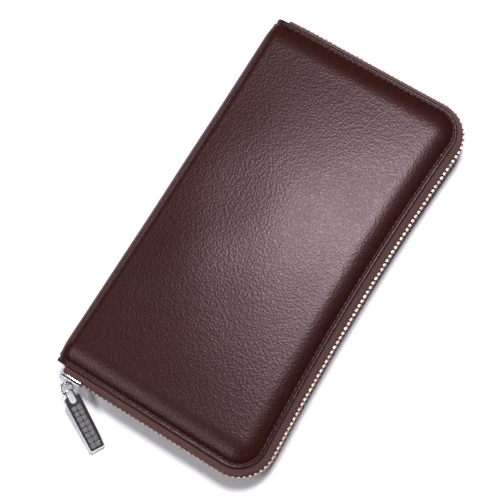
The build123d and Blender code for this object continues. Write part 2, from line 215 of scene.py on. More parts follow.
def leatherGrainGroup():
    # pebble grain: cells of uneven size, with finer ones and slow creases over them
    g = grainShape
    tree, gin, gout = group("leatherGrain",
        [("Pebbles per mm", "NodeSocketFloat", 0.9), ("Creases", "NodeSocketFloat", 0.5)],
        [("Height", "NodeSocketFloat"), ("Crevice", "NodeSocketFloat"), ("Cloud", "NodeSocketFloat")])
    coord = add(tree, "ShaderNodeTexCoord")
    warp = add(tree, "ShaderNodeTexNoise")
    warp.inputs["Scale"].default_value = g["warpScale"]
    warp.inputs["Detail"].default_value = 3
    tree.links.new(coord.outputs["Object"], warp.inputs["Vector"])
    shift = add(tree, "ShaderNodeVectorMath", operation="MULTIPLY_ADD")
    tree.links.new(warp.outputs["Color"], shift.inputs[0])
    shift.inputs[1].default_value = (g["warpReach"],) * 3
    tree.links.new(coord.outputs["Object"], shift.inputs[2])
    scale = math2(tree, "MULTIPLY", gin.outputs["Pebbles per mm"], 1000)
    cells = add(tree, "ShaderNodeTexVoronoi", feature="SMOOTH_F1")
    cells.inputs["Smoothness"].default_value = g["cellSoftness"]
    tree.links.new(shift.outputs[0], cells.inputs["Vector"])
    tree.links.new(scale, cells.inputs["Scale"])
    small = add(tree, "ShaderNodeTexVoronoi", feature="SMOOTH_F1")
    small.inputs["Smoothness"].default_value = g["cellSoftness"]
    tree.links.new(shift.outputs[0], small.inputs["Vector"])
    tree.links.new(math2(tree, "MULTIPLY", scale, g["fineRatio"]), small.inputs["Scale"])
    creases = add(tree, "ShaderNodeTexNoise", noise_type="RIDGED_MULTIFRACTAL")
    creases.inputs["Scale"].default_value = g["creaseScale"]
    creases.inputs["Detail"].default_value = 4
    creases.inputs["Distortion"].default_value = 0.6
    tree.links.new(coord.outputs["Object"], creases.inputs["Vector"])
    cloud = add(tree, "ShaderNodeTexNoise")
    cloud.inputs["Scale"].default_value = g["cloudScale"]
    cloud.inputs["Detail"].default_value = 5
    tree.links.new(coord.outputs["Object"], cloud.inputs["Vector"])
    big = remap(tree, cells.outputs["Distance"], 0.1, 0.7, 0.8, 0.0)
    fine = remap(tree, small.outputs["Distance"], 0.1, 0.7, 0.8, 0.0)
    pebble = math2(tree, "MULTIPLY_ADD", fine, g["fineShare"], big)
    ridge = math2(tree, "MULTIPLY", creases.outputs["Fac"], gin.outputs["Creases"])
    height = math2(tree, "SUBTRACT", pebble, math2(tree, "MULTIPLY", ridge, g["creaseShare"]))
    tree.links.new(height, gout.inputs["Height"])
    # Crevice is a mask of the hollows between pebbles; the leather's colour uses it for painted shade
    tree.links.new(remap(tree, pebble, 0.25, 0.8, 1.0, 0.0), gout.inputs["Crevice"])
    tree.links.new(cloud.outputs["Fac"], gout.inputs["Cloud"])
    return tree


def weaveGroup():
    # ribbed twill read from a strip's own UV map, in metres along and across
    tree, gin, gout = group("tapeWeave",
        [("UV", "NodeSocketVector", None), ("Threads per mm", "NodeSocketFloat", 2.2)],
        [("Height", "NodeSocketFloat"), ("Gap", "NodeSocketFloat")])
    split = add(tree, "ShaderNodeSeparateXYZ")
    tree.links.new(gin.outputs["UV"], split.inputs[0])
    scale = math2(tree, "MULTIPLY", gin.outputs["Threads per mm"], 2000 * math.pi)
    along = math2(tree, "MULTIPLY", split.outputs[0], scale)
    across = math2(tree, "MULTIPLY", split.outputs[1], scale)
    twill = math2(tree, "SINE", math2(tree, "ADD", along, math2(tree, "MULTIPLY", across, 0.5)))
    ribs = math2(tree, "SINE", across)
    height = math2(tree, "MULTIPLY_ADD", twill, 0.5, math2(tree, "MULTIPLY", ribs, 0.5))
    tree.links.new(height, gout.inputs["Height"])
    # Gap is a mask of the hollows between threads; the cloth's colour uses it for painted shade
    tree.links.new(remap(tree, height, -1, 0.2, 1, 0), gout.inputs["Gap"])
    return tree


def handlingGroup():
    # faint handling marks for metal
    tree, gin, gout = group("handling",
        [("Scale", "NodeSocketFloat", 300.0)],
        [("Marks", "NodeSocketFloat")])
    coord = add(tree, "ShaderNodeTexCoord")
    noise = add(tree, "ShaderNodeTexNoise")
    noise.inputs["Detail"].default_value = 6
    tree.links.new(coord.outputs["Object"], noise.inputs["Vector"])
    tree.links.new(gin.outputs["Scale"], noise.inputs["Scale"])
    tree.links.new(noise.outputs["Fac"], gout.inputs["Marks"])
    return tree


leatherGrain = leatherGrainGroup()
tapeWeave = weaveGroup()
handling = handlingGroup()


def bumpFrom(tree, shader, height, distance, strength=1.0):
    bump = add(tree, "ShaderNodeBump")
    bump.inputs["Distance"].default_value = distance
    bump.inputs["Strength"].default_value = strength
    tree.links.new(height, bump.inputs["Height"])
    tree.links.new(bump.outputs["Normal"], shader.inputs["Normal"])


def leatherMaterial(name, base, deep, pebbles, bump, roughness, coat):
    material, tree, shader = nodeTree(name)
    grain = add(tree, "ShaderNodeGroup", node_tree=leatherGrain)
    grain.inputs["Pebbles per mm"].default_value = pebbles
    darker = tuple(v * 0.78 for v in base)
    tint = mixColor(tree, remap(tree, grain.outputs["Cloud"], 0.3, 0.7, 0.0, 1.0), base, darker)
    # painted shade: the colour darkens towards deep in the grain's crevices, where shade falls
    color = mixColor(tree, math2(tree, "MULTIPLY", grain.outputs["Crevice"], 0.65), tint, deep)
    tree.links.new(color, shader.inputs["Base Color"])
    rough = math2(tree, "MULTIPLY_ADD", grain.outputs["Crevice"], 0.06, roughness)
    rough = math2(tree, "MULTIPLY_ADD", grain.outputs["Cloud"], 0.08, rough)
    tree.links.new(rough, shader.inputs["Roughness"])
    shader.inputs["Coat Weight"].default_value = coat
    shader.inputs["Coat Roughness"].default_value = 0.3
    shader.inputs["Specular IOR Level"].default_value = 0.19    # waxed and aged, so duller than varnish
    shader.inputs["Specular Tint"].default_value = (1.0, 0.8, 0.87, 1)
    bumpFrom(tree, shader, grain.outputs["Height"], bump)
    return material


def clothMaterial(name, base, gap, threads, bump, useUv):
    material, tree, shader = nodeTree(name)
    weave = add(tree, "ShaderNodeGroup", node_tree=tapeWeave)
    weave.inputs["Threads per mm"].default_value = threads
    coord = add(tree, "ShaderNodeTexCoord")
    tree.links.new(coord.outputs["UV" if useUv else "Object"], weave.inputs["UV"])
    cloud = add(tree, "ShaderNodeTexNoise")
    cloud.inputs["Scale"].default_value = 120
    tree.links.new(coord.outputs["Object"], cloud.inputs["Vector"])
    tint = mixColor(tree, cloud.outputs["Fac"], base, tuple(v * 0.7 for v in base))
    # painted shade: the colour darkens towards gap between the threads, where shade falls
    tree.links.new(mixColor(tree, weave.outputs["Gap"], tint, gap), shader.inputs["Base Color"])
    tree.links.new(remap(tree, weave.outputs["Gap"], 0, 1, 0.72, 0.95), shader.inputs["Roughness"])
    shader.inputs["Sheen Weight"].default_value = 0.04
    bumpFrom(tree, shader, weave.outputs["Height"], bump)
    return material


def metalMaterial(name, base, roughness, scale):
    material, tree, shader = nodeTree(name)
    shader.inputs["Metallic"].default_value = 1.0
    marks = add(tree, "ShaderNodeGroup", node_tree=handling)
    marks.inputs["Scale"].default_value = scale
    dulled = tuple(v * 0.86 for v in base)
    tree.links.new(mixColor(tree, marks.outputs["Marks"], base, dulled), shader.inputs["Base Color"])
    rough = remap(tree, marks.outputs["Marks"], 0.3, 0.8, roughness * 0.7, roughness * 1.6)
    tree.links.new(rough, shader.inputs["Roughness"])
    bumpFrom(tree, shader, marks.outputs["Marks"], 0.01 * mm, 0.3)
    return material


def plainMaterial(name, base, other, roughness, scale, bump, specular=0.5):
    material, tree, shader = nodeTree(name)
    shader.inputs["Specular IOR Level"].default_value = specular
    coord = add(tree, "ShaderNodeTexCoord")
    noise = add(tree, "ShaderNodeTexNoise")
    noise.inputs["Scale"].default_value = scale
    noise.inputs["Detail"].default_value = 6
    tree.links.new(coord.outputs["Object"], noise.inputs["Vector"])
    tree.links.new(mixColor(tree, noise.outputs["Fac"], base, other), shader.inputs["Base Color"])
    rough = remap(tree, noise.outputs["Fac"], 0.2, 0.8, roughness - 0.06, roughness + 0.08)
    tree.links.new(rough, shader.inputs["Roughness"])
    bumpFrom(tree, shader, noise.outputs["Fac"], bump)
    return material


finish = {
    # for both leathers, deep is the colour of the painted shade in the grain's crevices
    "coverLeather": leatherMaterial(
        "coverLeather", base=(0.038, 0.0078, 0.0058), deep=(0.013, 0.003, 0.0025),
        pebbles=0.85, bump=0.05 * mm, roughness=0.23, coat=0.0),
    "innerLeather": leatherMaterial(
        "innerLeather", base=(0.085, 0.026, 0.019), deep=(0.035, 0.01, 0.008),
        pebbles=1.1, bump=0.09 * mm, roughness=0.42, coat=0.15),
    # for both cloths, gap is the colour of the painted shade between the threads
    "tapeCloth": clothMaterial(
        "tapeCloth", base=(0.13, 0.045, 0.036), gap=(0.035, 0.012, 0.01),
        threads=1.9, bump=0.1 * mm, useUv=True),
    "liningCloth": clothMaterial(
        "liningCloth", base=(0.075, 0.036, 0.026), gap=(0.03, 0.013, 0.01),
        threads=2.4, bump=0.06 * mm, useUv=False),
    "thread": plainMaterial(
        "thread", base=(0.01, 0.005, 0.005), other=(0.022, 0.013, 0.012),
        roughness=0.6, scale=2500, bump=0.03 * mm),
    "toothMetal": metalMaterial("toothMetal", base=(0.33, 0.25, 0.2), roughness=0.46, scale=900.0),
    "chrome": metalMaterial("chrome", base=(0.8, 0.8, 0.82), roughness=0.1, scale=160.0),
    "inlayGround": plainMaterial(
        "inlayGround", base=(0.006, 0.006, 0.007), other=(0.012, 0.012, 0.013),
        roughness=0.4, scale=900, bump=0.03 * mm, specular=0.12),
    "inlay": plainMaterial(
        "inlay", base=(0.11, 0.11, 0.115), other=(0.2, 0.2, 0.21),
        roughness=0.28, scale=700, bump=0.05 * mm),
}
print("materials made")


# Padded covers with the leather that wraps round the spine
coverShape = {
    "thick": 1.15 * mm,
    "rimZ": 20.5 * mm,
    "plateau": 22.9 * mm,      # height of the padding's shoulder
    "crown": 2.1 * mm,         # how much higher its middle is
    "crownAt": 0.375,          # its highest line, as a share of the way from the spine to the zip
    "crownPower": 1.2,
    "wave": 0.16 * mm,
    "groove": 2.6 * mm,        # inset of the groove beside the padding
    "stitch": 1.9 * mm,        # inset of the stitch line
    "dent": 0.2 * mm,          # depth of the stitch line and of each pucker
    "pitch": 3.2 * mm,         # from one stitch to the next
    "spineRound": 6 * mm,
    "wrapSteps": 22,
    "spineLap": 1.5 * mm,      # the bend starts and ends this far from the spine's edges
    # rings of the mesh from the edge inwards, in millimetres, close together where the leather turns
    "rings": [0.58, 1.0, 1.4, 1.7, 1.9, 2.1, 2.5, 2.9, 3.2, 3.5, 3.9, 4.4,
              5.0, 5.7, 6.5, 7.5, 8.6, 9.8, 11.1, 12.5, 14.0],
    "lip": [(0.17, 0.17), (0.0, 0.58), (0.17, 0.98)],    # the rounded cut edge: inset and depth
}


def outerHeight(inset, distance):
    # the rim is flat with a sunk stitch line; the padding swells up from the groove
    c = coverShape
    z = c["rimZ"]
    z -= c["dent"] * math.exp(-((inset - c["stitch"]) / (0.4 * mm)) ** 2)
    pucker = 1 + math.cos(2 * math.pi * distance / c["pitch"])
    z -= c["dent"] * pucker * math.exp(-((inset - c["groove"]) / (0.7 * mm)) ** 2)
    t = min(max((inset - c["groove"]) / (wallet["cornerRadius"] - c["groove"]), 0), 1)
    return z + (c["plateau"] - c["rimZ"]) * (1 - (1 - t) ** 2.2) ** 0.9


def crownHeight(x, y, right):
    # the padding's soft middle, highest a little towards the spine, with shallow waves
    c = coverShape
    across = (x - wallet["leftX"]) / (right - wallet["leftX"])
    u = (across - c["crownAt"]) / (1 - c["crownAt"])
    v = y / centreY
    swell = (max(1 - u * u, 0) * max(1 - v * v, 0)) ** c["crownPower"]
    waves = math.sin(x * 118 + 1.3) * math.sin(y * 71 + 0.4) + 0.6 * math.sin(x * 61 - y * 97)
    return swell * (c["crown"] + c["wave"] * waves)


def wrapPath(fraction):
    # from the padded field round the spine's corner to half way down the spine
    c = coverShape
    arcX = wallet["spineX"] + c["spineRound"]
    straight = wallet["leftX"] - arcX
    arc = math.pi / 2 * c["spineRound"]
    down = c["plateau"] - c["spineRound"] - wallet["midZ"]
    distance = fraction * (straight + arc + down)
    if distance <= straight:
        return wallet["leftX"] - distance, c["plateau"], 0.0, -1.0, 0.0
    if distance <= straight + arc:
        a = (distance - straight) / c["spineRound"]
        x = arcX - c["spineRound"] * math.sin(a)
        z = c["plateau"] - c["spineRound"] * (1 - math.cos(a))
        return x, z, math.sin(a), -math.cos(a), a / (math.pi / 2)
    return wallet["spineX"], c["plateau"] - c["spineRound"] - (distance - straight - arc), 1.0, 0.0, 1.0


def coverSkin(name, upper, material):
    # a closed leather sheet: rings round the rim, a grid over the padding, and the wrap round the spine
    c = coverShape
    stations, count, corner, half = makeOutline(wallet["leftX"], wallet["step"])
    insets = [n * mm for n in c["rings"]]
    loops = [(n, c["thick"]) for n in reversed(insets)]    # the inner face, the lip, then the outer face
    loops += [(n * mm, depth * mm) for n, depth in reversed(c["lip"])]
    loops += [(n, 0.0) for n in insets]
    verts, faces = [], []

    def height(inset, distance):
        return outerHeight(max(inset, insets[0]), distance)

    for inset, below in loops:
        for x, y, nx, ny, distance in stations:
            verts.append((x - inset * nx, y - inset * ny, height(inset, distance) - below))
    width = len(stations)
    for q in range(len(loops) - 1):
        for i in range(width - 1):
            a = q * width + i
            faces.append((a, a + 1, a + width + 1, a + width))
    first = count + corner
    rows = stations[first:first + 2 * half + 1]
    radius = wallet["cornerRadius"]
    for below in (c["thick"], 0.0):
        base = len(verts)
        for x, y, nx, ny, distance in rows:
            right, rowY = x - radius * nx, y - radius * ny
            for i in range(count + 1):
                px = wallet["leftX"] + (right - wallet["leftX"]) * i / count
                verts.append((px, rowY, c["plateau"] + crownHeight(px, rowY, right) - below))
        for j in range(len(rows) - 1):
            for i in range(count):
                a = base + j * (count + 1) + i
                faces.append((a, a + 1, a + count + 2, a + count + 1))
    middle = []
    for x, y, nx, ny, distance in rows[1:-1]:
        rise = crownHeight(wallet["leftX"], y - radius * ny, x - radius * nx)
        middle.append((y - radius * ny, -rise, 0.0))
    near, far = [], []    # the cut at the spine's edge: (y, depth under the plateau, depth in the leather)
    for part, side, index in ((near, -1, 0), (far, 1, width - 1)):
        for inset, below in loops:
            drop = c["plateau"] - height(inset, stations[index][4])
            part.append((side * (wallet["halfY"] - inset), drop, below))
    section = near + middle + far[::-1] + [(y, drop, c["thick"]) for y, drop, _ in reversed(middle)]
    columns = []
    for m in range(c["wrapSteps"] + 1):
        bx, bz, inX, inZ, bend = wrapPath(m / c["wrapSteps"])
        fade = 1 - 0.5 * smooth(0, 1, bend)
        base = len(verts)
        for y, depth, below in section:
            sink = depth * fade + below
            verts.append((bx + inX * sink, y, bz + inZ * sink))
        columns.append(base)
    size = len(section)
    for a, b in zip(columns, columns[1:]):
        for i in range(size):
            k = (i + 1) % size
            faces.append((a + i, a + k, b + k, b + i))
    faces.append(tuple(range(columns[-1], columns[-1] + size)))
    placed = []
    for x, y, z in verts:
        x += spineShift(x, y)
        placed.append((x, y, z if upper else 2 * wallet["midZ"] - z))
    skin = meshObject(name, placed, faces, material, merge=0.002 * mm)
    skin.data.set_sharp_from_angle(angle=1.2)
    return skin


frontSkin = coverSkin("frontLeather", True, finish["coverLeather"])
backSkin = coverSkin("backLeather", False, finish["coverLeather"])
for skin, body, nodes in (
        (frontSkin, "front", ["front_cover", "front_padding", "front_board"]),
        (backSkin, "back", ["back_cover", "back_padding", "back_board", "spine_cover"])):
    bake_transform(skin)
    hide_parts(*nodes)
print("covers made:", len(frontSkin.data.polygons), "faces each")


# Zip tapes: a woven strip that stands at the chain and turns in under the rim
tapeShape = {
    "thick": 0.54 * mm,
    # in millimetres, from the teeth to the sewn edge: out from the leather's edge, height above the mid plane
    "route": [(2.5, 1.8), (2.5, 2.6), (2.5, 3.1), (2.5, 3.35), (2.5, 3.6), (2.5, 4.3), (2.42, 4.9),
              (2.15, 5.5), (1.7, 6.0), (1.1, 6.35), (0.4, 6.5), (-0.8, 6.5), (-2.6, 6.5), (-4.6, 6.5)],
    "sloped": [(2.5, 1.8), (2.5, 2.3), (2.45, 2.7), (2.35, 3.1), (2.2, 3.5), (1.85, 4.1), (1.4, 4.7),
               (0.9, 5.3), (0.4, 5.8), (-0.1, 6.2), (-0.6, 6.45), (-1.4, 6.5), (-2.6, 6.5), (-4.6, 6.5)],
    "cord": 3,                 # the route point that carries the raised cord beside the teeth
    "cordSwell": 1.9,
    "slopeStart": 88 * mm,     # past the slider's run
    "slopeEnd": 106 * mm,
}


def sweep(name, stations, profile, other, material, upper):
    # profile and other are closed lists of (out, height); the strip turns from one to the other
    verts, faces, uvs = [], [], []
    size = len(profile)
    along = [0.0]
    for a, b in zip(profile, profile[1:]):
        along.append(along[-1] + math.hypot(b[0] - a[0], b[1] - a[1]))
    for x, y, nx, ny, distance in stations:
        share = smooth(tapeShape["slopeStart"], tapeShape["slopeEnd"], distance)
        for (out, z), (otherOut, otherZ), v in zip(profile, other, along):
            out += (otherOut - out) * share
            z += (otherZ - z) * share
            verts.append((x + out * nx, y + out * ny, wallet["midZ"] + (z if upper else -z)))
            uvs.append((distance, v))
    for i in range(len(stations) - 1):
        for k in range(size):
            a, b = i * size + k, i * size + (k + 1) % size
            faces.append((a, b, b + size, a + size))
    faces.append(tuple(range(size)))
    faces.append(tuple(range(len(verts) - size, len(verts))))
    return meshObject(name, verts, faces, material, uvs=uvs)


def thickened(route):
    # the closed outline of a strip that follows the route
    thick = tapeShape["thick"]
    left, right = [], []
    for i, (out, z) in enumerate(route):
        a, b = route[max(i - 1, 0)], route[min(i + 1, len(route) - 1)]
        dx, dz = b[0] - a[0], b[1] - a[1]
        size = math.hypot(dx, dz)
        half = thick / 2 * (tapeShape["cordSwell"] if i == tapeShape["cord"] else 1.0)
        left.append((out * mm - dz / size * half, z * mm + dx / size * half))
        right.append((out * mm + dz / size * half, z * mm - dx / size * half))
    return left + right[::-1]


def makeTape(name, node, body, upper):
    stations, *_ = makeOutline(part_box(node)[0].x, wallet["step"])
    tape = sweep(name, stations, thickened(tapeShape["route"]), thickened(tapeShape["sloped"]),
                 finish["tapeCloth"], upper)
    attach(tape, body)
    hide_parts(node)


makeTape("frontTape", "front_zip_tape", "front", True)
makeTape("backTape", "back_zip_tape", "back", False)
print("tapes made")


# Stitching, laid along a route by Geometry Nodes
edgeStitch = {"Pitch": coverShape["pitch"], "Length": 2.4 * mm, "Width": 0.72 * mm, "Seed": 7}
innerStitch = {"Pitch": 2.6 * mm, "Length": 1.9 * mm, "Width": 0.34 * mm, "Seed": 7}


def stitchTree():
    tree = bpy.data.node_groups.new("stitchRun", "GeometryNodeTree")
    new = tree.interface.new_socket
    new(name="Geometry", in_out="INPUT", socket_type="NodeSocketGeometry")
    for label in ("Pitch", "Length", "Width"):
        new(name=label, in_out="INPUT", socket_type="NodeSocketFloat").default_value = edgeStitch[label]
    new(name="Seed", in_out="INPUT", socket_type="NodeSocketInt").default_value = edgeStitch["Seed"]
    new(name="Thread", in_out="INPUT", socket_type="NodeSocketMaterial")
    new(name="Geometry", in_out="OUTPUT", socket_type="NodeSocketGeometry")
    gin, gout = tree.nodes.new("NodeGroupInput"), tree.nodes.new("NodeGroupOutput")
    link = tree.links.new
    curve = tree.nodes.new("GeometryNodeMeshToCurve")
    points = tree.nodes.new("GeometryNodeCurveToPoints")
    points.mode = "LENGTH"
    link(gin.outputs["Geometry"], curve.inputs[0])
    link(curve.outputs[0], points.inputs["Curve"])
    link(gin.outputs["Pitch"], points.inputs["Length"])
    align = tree.nodes.new("FunctionNodeAlignRotationToVector")
    align.axis = "X"
    link(points.outputs["Tangent"], align.inputs["Vector"])
    jitter = tree.nodes.new("FunctionNodeRandomValue")
    jitter.data_type = "FLOAT_VECTOR"
    jitter.inputs[0].default_value = (-0.02, -0.06, -0.06)    # each stitch lies a little askew, in radians
    jitter.inputs[1].default_value = (0.02, 0.06, 0.06)
    link(gin.outputs["Seed"], jitter.inputs["Seed"])
    rotate = tree.nodes.new("FunctionNodeRotateRotation")
    euler = tree.nodes.new("FunctionNodeEulerToRotation")
    link(jitter.outputs[0], euler.inputs[0])
    link(align.outputs[0], rotate.inputs[0])
    link(euler.outputs[0], rotate.inputs[1])
    bead = tree.nodes.new("GeometryNodeMeshUVSphere")
    bead.inputs["Segments"].default_value = 8
    bead.inputs["Rings"].default_value = 6
    bead.inputs["Radius"].default_value = 0.5
    size = tree.nodes.new("ShaderNodeCombineXYZ")
    link(gin.outputs["Length"], size.inputs[0])
    link(gin.outputs["Width"], size.inputs[1])
    link(gin.outputs["Width"], size.inputs[2])
    place = tree.nodes.new("GeometryNodeInstanceOnPoints")
    link(points.outputs["Points"], place.inputs["Points"])
    link(bead.outputs["Mesh"], place.inputs["Instance"])
    link(rotate.outputs[0], place.inputs["Rotation"])
    link(size.outputs[0], place.inputs["Scale"])
    shade = tree.nodes.new("GeometryNodeSetShadeSmooth")
    link(place.outputs[0], shade.inputs[0])
    realize = tree.nodes.new("GeometryNodeRealizeInstances")
    link(shade.outputs[0], realize.inputs[0])
    paint = tree.nodes.new("GeometryNodeSetMaterial")
    link(realize.outputs[0], paint.inputs["Geometry"])
    link(gin.outputs["Thread"], paint.inputs["Material"])
    link(paint.outputs[0], gout.inputs[0])
    return tree


stitchRunTree = stitchTree()


def runTree(name, routes, tree, values):
    # routes are lists of points; the tree's result becomes a plain mesh
    mesh = bpy.data.meshes.new(name + "Route")
    verts, edges = [], []
    for route in routes:
        base = len(verts)
        verts += [tuple(p) for p in route]
        edges += [(base + i, base + i + 1) for i in range(len(route) - 1)]
    mesh.from_pydata(verts, edges, [])
    source = newObject(name + "Route", mesh)
    modifier = source.modifiers.new("run", "NODES")
    modifier.node_group = tree
    sockets = {item.name: item.identifier for item in tree.interface.items_tree if item.in_out == "INPUT"}
    for label, value in values.items():
        modifier[sockets[label]] = value
    depsgraph = bpy.context.evaluated_depsgraph_get()
    result = bpy.data.meshes.new_from_object(source.evaluated_get(depsgraph))
    bpy.data.objects.remove(source)
    result.name = name
    return newObject(name, result)


def stitches(name, routes, body, stitch):
    run = runTree(name, routes, stitchRunTree, {**stitch, "Thread": finish["thread"]})
    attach(run, body)


def edgeStitchRoute(upper):
    # the sunk stitch line just inside the leather's edge
    stations, *_ = makeOutline(wallet["leftX"] + 1.0 * mm, 2 * wallet["step"])
    inset = coverShape["stitch"]
    route = []
    for x, y, nx, ny, distance in stations:
        z = coverShape["rimZ"] - 0.05 * mm
        px, py = x - inset * nx, y - inset * ny
        route.append((px + spineShift(px, py), py, z if upper else 2 * wallet["midZ"] - z))
    return route


stitches("frontStitches", [edgeStitchRoute(True)], "front", edgeStitch)
stitches("backStitches", [edgeStitchRoute(False)], "back", edgeStitch)
print("edge stitching made")


# Inner pieces and small metal parts start as their CAD solids, with their sharp edges rounded
inner = {
    "cardSlots": 4,            # on each cover
    "sharpAngle": 0.6,         # edges that turn by more than this are rounded, in radians
    "leatherEdge": 0.3 * mm,   # rounding of the card slots' cut edges
    "pocketEdge": 0.25 * mm,
    "clothEdge": 0.12 * mm,
    "tapeEdge": 0.1 * mm,
    "mouthInset": 1.4 * mm,    # stitch line behind a card slot's mouth
    "divider": 9.5 * mm,       # length of the stitch line between two cards' slots
    "tapeSeam": 4.6 * mm,      # from the coin zip's middle to the stitches that hold its tapes
    "pocketSeam": 8 * mm,      # the stitches that hold the coin pocket to the spine
    "seamEnd": 3 * mm,
    "gussetWidth": 10.3 * mm,  # across the cloth with its pleat laid flat
    "gussetCuts": ((Vector((1, 0, 0)), 24), (Vector((0, 0, 1)), 10)),
}


def cleanCopy(node):
    # a CAD solid's mesh with its doubles merged and its flat faces whole
    bm = bmesh.new()
    bm.from_mesh(frame["nodes"][node].data)
    bmesh.ops.remove_doubles(bm, verts=bm.verts, dist=0.001 * mm)
    bmesh.ops.dissolve_limit(bm, angle_limit=0.02, verts=bm.verts, edges=bm.edges)
    return bm


def toMesh(bm, name):
    mesh = bpy.data.meshes.new(name)
    bm.to_mesh(mesh)
    bm.free()
    return mesh


def roundedCopy(name, node, body, material, bevel, segments=2):
    bm = cleanCopy(node)
    sharp = [e for e in bm.edges if len(e.link_faces) == 2 and e.calc_face_angle(0) > inner["sharpAngle"]]
    bmesh.ops.bevel(bm, geom=sharp, offset=bevel, segments=segments, profile=0.5,
                    affect="EDGES", clamp_overlap=True)
    mesh = toMesh(bm, name)
    mesh.polygons.foreach_set("use_smooth", [True] * len(mesh.polygons))
    mesh.set_sharp_from_angle(angle=0.9)
    obj = newObject(name, mesh, finish[material])
    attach(obj, body)
    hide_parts(node)


def makeCardSlot(side, number):
    node = f"{side}_card_slot_{number}"
    low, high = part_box(node)
    name = f"{side}CardSlot{number}"
    roundedCopy(name, node, side, "innerLeather", inner["leatherEdge"], 3)
    faceZ = low.z if side == "front" else high.z
    inset = inner["mouthInset"]
    mouth = [(high.x - inset, y, faceZ) for y in (low.y + inset, high.y - inset)]
    divider = [(high.x - inner["divider"], 0, faceZ), (high.x - inset, 0, faceZ)]
    stitches(f"{side}SlotStitches{number}", [mouth, divider], side, innerStitch)


def makeGusset(side, end):
    # cloth that stretches between its cover and the coin pocket, so it is cut fine enough to bend
    node = f"{side}_{end}_gusset"
    low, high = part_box(node)
    bm = cleanCopy(node)
    for axis, cuts in inner["gussetCuts"]:
        for cut in range(1, cuts):
            at = low + (high - low) * cut / cuts
            everything = bm.verts[:] + bm.edges[:] + bm.faces[:]
            bmesh.ops.bisect_plane(bm, geom=everything, plane_co=at, plane_no=axis)
    name = side + end.capitalize() + "Gusset"
    gusset = newObject(name, toMesh(bm, name), finish["liningCloth"])
    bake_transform(gusset)
    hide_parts(node)


def makeCoinPocket():
    for wall in ("Plain", "Zip"):
        name, node = f"coinPocket{wall}Side", f"coin_pocket_{wall.lower()}_side"
        roundedCopy(name, node, "spine", "innerLeather", inner["pocketEdge"], 3)
    roundedCopy("coinTapes", "coin_zip_tapes", "spine", "tapeCloth", inner["tapeEdge"])
    chainLow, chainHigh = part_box("coin_zip_teeth")
    wallLow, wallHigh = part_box("coin_pocket_zip_side")
    chainX = (chainLow.x + chainHigh.x) / 2
    ends = (wallLow.y + inner["seamEnd"], wallHigh.y - inner["seamEnd"])
    seams = (chainX - inner["tapeSeam"], chainX + inner["tapeSeam"], wallLow.x + inner["pocketSeam"])
    routes = [[(x, y, wallHigh.z) for y in ends] for x in seams]
    stitches("coinPocketStitches", routes, "spine", innerStitch)


for side in ("front", "back"):
    name, node = side + "LiningTray", side + "_lining"
    roundedCopy(name, node, side, "liningCloth", inner["clothEdge"])
    for number in range(1, inner["cardSlots"] + 1):
        makeCardSlot(side, number)
    for end in ("near", "far"):
        makeGusset(side, end)
roundedCopy("spineLining", "spine_lining", "spine", "liningCloth", inner["clothEdge"])
makeCoinPocket()
print("inner pieces made")

metalPieces = [    # name, CAD node, body, rounding
    ("zipSlider", "zip_slider", "slider", 0.22 * mm),
    ("sliderCrown", "slider_crown", "slider", 0.25 * mm),
    ("pullTab", "pull_tab", "tab", 0.25 * mm),
    ("coinSlider", "coin_zip_slider", "coin_slider", 0.12 * mm),
    ("coinPull", "coin_zip_pull", "coin_slider", 0.15 * mm),
]
for name, node, body, bevel in metalPieces:
    roundedCopy(name, node, body, "chrome", bevel, 3)


def paint(node, material):
    obj = frame["nodes"][node]
    obj.data.materials.clear()
    obj.data.materials.append(material)


toothPieces = ("front_zip_teeth", "back_zip_teeth", "coin_zip_teeth",
               "front_top_stop", "back_top_stop", "zip_bottom_stop")
paint("pull_link", finish["chrome"])
for node in toothPieces:
    paint(node, finish["toothMetal"])
print("metal made")


# The pull's inlay: two columns of pressed tiles on a dark ground
tileShape = {
    "columns": 2,
    "rows": 8,
    "gap": 0.24 * mm,
    "proud": 0.1 * mm,
    "deep": 0.3 * mm,
    "seed": 5,
}


def tileTree():
    tree = bpy.data.node_groups.new("tileRun", "GeometryNodeTree")
    new = tree.interface.new_socket
    new(name="Geometry", in_out="INPUT", socket_type="NodeSocketGeometry")
    tile = new(name="Tile", in_out="INPUT", socket_type="NodeSocketVector")
    tile.default_value = (2 * mm, 2 * mm, tileShape["deep"])
    new(name="Seed", in_out="INPUT", socket_type="NodeSocketInt").default_value = tileShape["seed"]
    new(name="Surface", in_out="INPUT", socket_type="NodeSocketMaterial")
    new(name="Geometry", in_out="OUTPUT", socket_type="NodeSocketGeometry")
    gin, gout = tree.nodes.new("NodeGroupInput"), tree.nodes.new("NodeGroupOutput")
    link = tree.links.new
    cube = tree.nodes.new("GeometryNodeMeshCube")
    link(gin.outputs["Tile"], cube.inputs["Size"])
    for axis in range(3):
        cube.inputs[axis + 1].default_value = 5 if axis < 2 else 3
    soft = tree.nodes.new("GeometryNodeSubdivisionSurface")
    soft.inputs["Level"].default_value = 1
    link(cube.outputs["Mesh"], soft.inputs["Mesh"])
    jitter = tree.nodes.new("FunctionNodeRandomValue")
    jitter.data_type = "FLOAT_VECTOR"
    jitter.inputs[0].default_value = (0.93, 0.94, 0.7)    # each tile's size differs a little
    jitter.inputs[1].default_value = (1.03, 1.03, 1.3)
    link(gin.outputs["Seed"], jitter.inputs["Seed"])
    place = tree.nodes.new("GeometryNodeInstanceOnPoints")
    link(gin.outputs["Geometry"], place.inputs["Points"])
    link(soft.outputs["Mesh"], place.inputs["Instance"])
    link(jitter.outputs[0], place.inputs["Scale"])
    shade = tree.nodes.new("GeometryNodeSetShadeSmooth")
    link(place.outputs[0], shade.inputs[0])
    realize = tree.nodes.new("GeometryNodeRealizeInstances")
    link(shade.outputs[0], realize.inputs[0])
    paintNode = tree.nodes.new("GeometryNodeSetMaterial")
    link(realize.outputs[0], paintNode.inputs["Geometry"])
    link(gin.outputs["Surface"], paintNode.inputs["Material"])
    link(paintNode.outputs[0], gout.inputs[0])
    return tree


